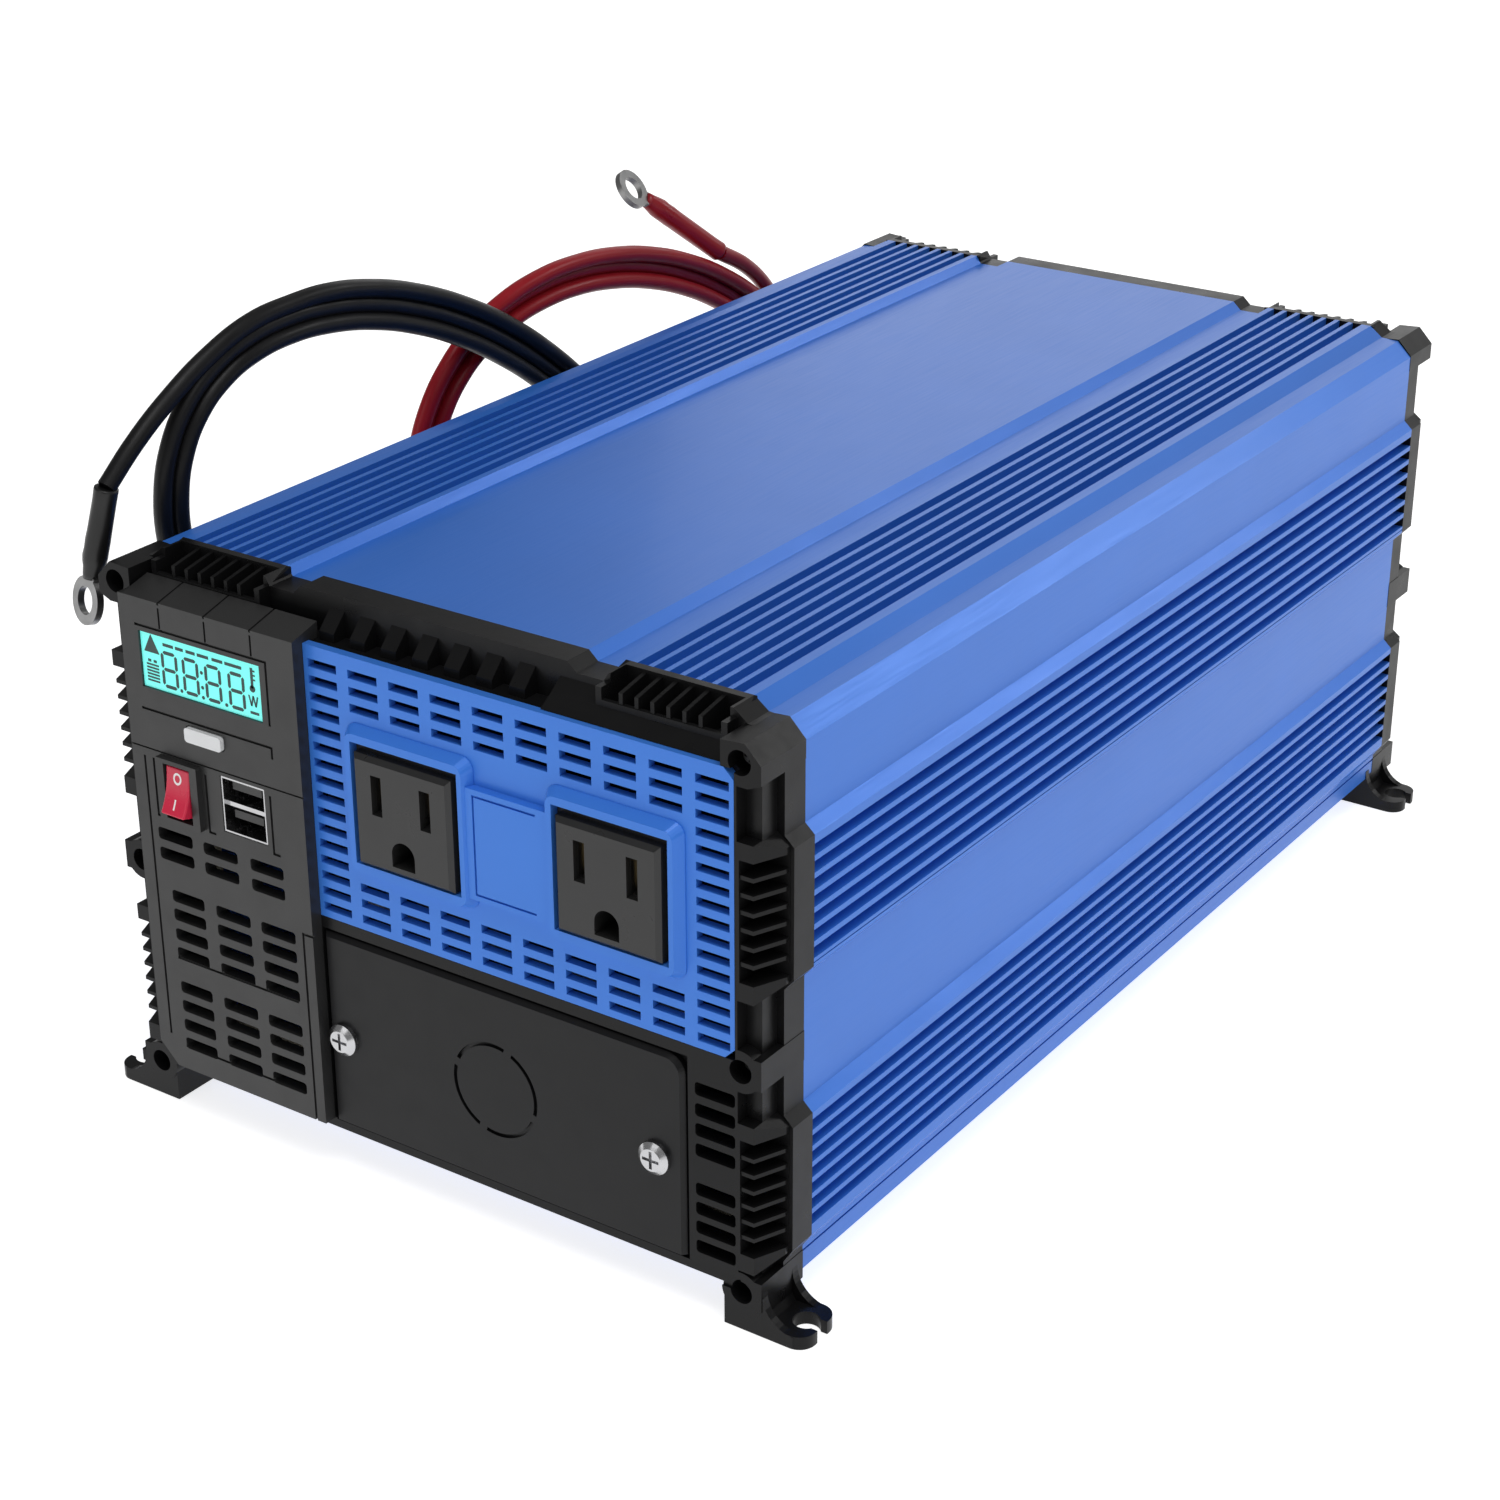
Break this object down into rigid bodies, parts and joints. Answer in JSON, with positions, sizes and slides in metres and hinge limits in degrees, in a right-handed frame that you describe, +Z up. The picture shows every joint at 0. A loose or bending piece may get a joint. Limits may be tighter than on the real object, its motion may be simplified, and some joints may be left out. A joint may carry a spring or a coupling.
{
  "type": "power inverter",
  "caption": "Desktop power inverter in a finned metal case, with black end caps, control panel, mains outlets, cooling fans and coiled battery leads.",
  "frame": {"origin": "centre of the underside of the object without its leads, on the surface it stands on", "axes": "+X to the right seen from the front, +Y from the front (outlets) to the back (battery posts), +Z up"},
  "size_m": [0.2087, 0.3399, 0.1735],
  "materials": {
    "case_blue": "satin",
    "cap_black": "matte",
    "panel_black": "fine texture",
    "panel_blue": "satin",
    "outlet_black": "semi gloss",
    "contact_brass": "satin",
    "display_cyan": "clear, backlit",
    "circuit_green": "satin",
    "button_white": "satin",
    "rocker_red": "gloss",
    "steel": "satin",
    "screw_black": "black oxide",
    "fan_black": "satin",
    "collar_black": "satin",
    "collar_red": "satin",
    "terminal_cream": "satin",
    "core_grey": "matte ferrite and copper windings",
    "capacitor_blue": "shrink film",
    "bar_aluminium": "mill",
    "transistor_black": "matte",
    "winding_copper": "enamelled copper",
    "lead_black": "satin",
    "lead_red": "satin",
    "terminal_tin": "tinned"
  },
  "bodies": {
    "housing": {"case_upper": "case_blue", "case_lower": "case_blue", "front_bezel": "cap_black", "rear_bezel": "cap_black", "control_panel": "panel_black", "outlet_panel": "panel_blue", "outlet_left": "outlet_black", "outlet_right": "outlet_black", "contacts_left": "contact_brass", "contacts_right": "contact_brass", "display_glass": "display_cyan", "display_board": "circuit_green", "switch_frame": "panel_black", "usb_shell": "steel", "usb_tongues": "button_white", "terminal_cover": "panel_black", "cover_screws": "steel", "front_screws": "screw_black", "rear_screws": "screw_black", "ac_block": "terminal_cream", "ac_block_screws": "steel", "fan_left_frame": "fan_black", "fan_right_frame": "fan_black", "fan_left_guard": "steel", "fan_right_guard": "steel", "fan_screws": "steel", "post_black": "contact_brass", "post_red": "contact_brass", "collar_black": "collar_black", "collar_red": "collar_red", "post_nuts": "steel", "ground_screw": "steel", "main_board": "circuit_green", "board_posts": "steel", "transformers": "core_grey", "capacitors": "capacitor_blue", "heat_bars": "bar_aluminium", "transistors": "transistor_black", "choke": "winding_copper", "black_lead": "lead_black", "black_coil": "lead_black", "black_end_lug": "terminal_tin", "black_end_sleeve": "lead_black", "black_post_lug": "terminal_tin", "black_post_sleeve": "lead_black", "red_lead": "lead_red", "red_coil": "lead_red", "red_end_lug": "terminal_tin", "red_end_sleeve": "lead_red", "red_post_lug": "terminal_tin", "red_post_sleeve": "lead_red"},
    "rocker": {"switch_rocker": "rocker_red"},
    "button": {"menu_button": "button_white"},
    "left_wheel": {"fan_left_rotor": "fan_black"},
    "right_wheel": {"fan_right_rotor": "fan_black"}
  },
  "joints": [
    {"name": "rocker_swing", "type": "hinge", "parent": "housing", "child": "rocker", "pos_m": [-0.06235, -0.1642, 0.08295], "axis": [1, 0, 0], "range_deg": [0, 30]},
    {"name": "button_press", "type": "slide", "parent": "housing", "child": "button", "axis": [0, 1, 0], "range_m": [0, 0.0012], "stiffness_N_per_m": 400},
    {"name": "left_fan_spin", "type": "hinge", "parent": "housing", "child": "left_wheel", "pos_m": [-0.037, 0.133, 0.086], "axis": [0, 1, 0], "continuous": true},
    {"name": "right_fan_spin", "type": "hinge", "parent": "housing", "child": "right_wheel", "pos_m": [0.037, 0.133, 0.086], "axis": [0, 1, 0], "continuous": true}
  ]
}
